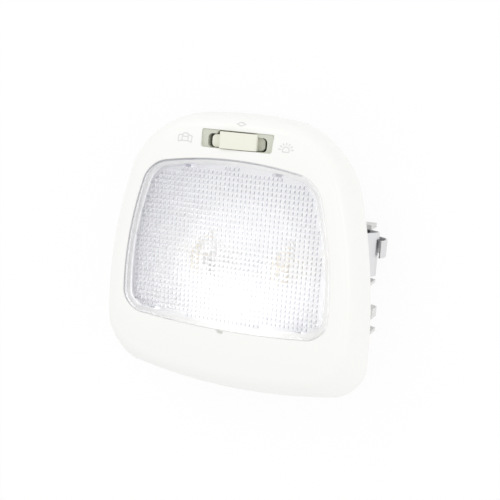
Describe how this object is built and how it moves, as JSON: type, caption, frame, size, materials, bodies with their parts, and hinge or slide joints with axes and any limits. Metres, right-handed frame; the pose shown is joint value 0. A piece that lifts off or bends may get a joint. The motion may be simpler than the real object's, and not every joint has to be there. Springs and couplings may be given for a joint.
{
  "type": "car dome light",
  "caption": "Car interior dome light: off-white bezel with a clear prismatic lens, a rocker switch in a slot above it, a festoon bulb behind, and side spring clips.",
  "frame": {"origin": "middle of the rim, on the flat rear of the housing", "axes": "+X to the right seen from the front, +Y from the lens towards the switch, +Z out of the lens; the light lies on its back"},
  "size_m": [0.122, 0.1215, 0.0435],
  "materials": {
    "bezel_plastic": "satin",
    "lens_clear": "gloss",
    "housing_plastic": "satin",
    "reflector_white": "gloss",
    "bulb_glass": "gloss",
    "bulb_metal": "satin",
    "filament_metal": "matte",
    "contact_brass": "satin",
    "switch_plastic": "satin",
    "knob_ivory": "satin",
    "spring_steel": "satin",
    "screw_steel": "satin"
  },
  "bodies": {
    "light": {"bezel": "bezel_plastic", "lens": "lens_clear", "rear_housing": "housing_plastic", "reflector": "reflector_white", "bulb_glass": "bulb_glass", "bulb_cap_left": "bulb_metal", "bulb_cap_right": "bulb_metal", "bulb_filament": "filament_metal", "lamp_strip": "contact_brass", "feed_strip": "contact_brass", "ground_terminal": "contact_brass", "door_terminal": "contact_brass", "switch_body": "switch_plastic", "clip_left": "spring_steel", "clip_right": "spring_steel", "housing_screws": "screw_steel"},
    "rocker": {"rocker_button": "knob_ivory", "detent_spring": "spring_steel", "detent_plunger": "contact_brass"},
    "bridge": {"contact_bridge": "contact_brass"}
  },
  "joints": [
    {"name": "rocker_tilt", "type": "hinge", "parent": "light", "child": "rocker", "pos_m": [0.0016, 0.05, 0.03307], "axis": [0, 1, 0], "range_deg": [-14, 0]},
    {"name": "bridge_tilt", "type": "hinge", "parent": "light", "child": "bridge", "pos_m": [0.0016, 0.05, 0.0213], "axis": [0, 1, 0], "range_deg": [0, 16]}
  ],
  "couplings": [
    {"joint": "bridge_tilt", "follows": "rocker_tilt", "ratio": -1.1428}
  ]
}
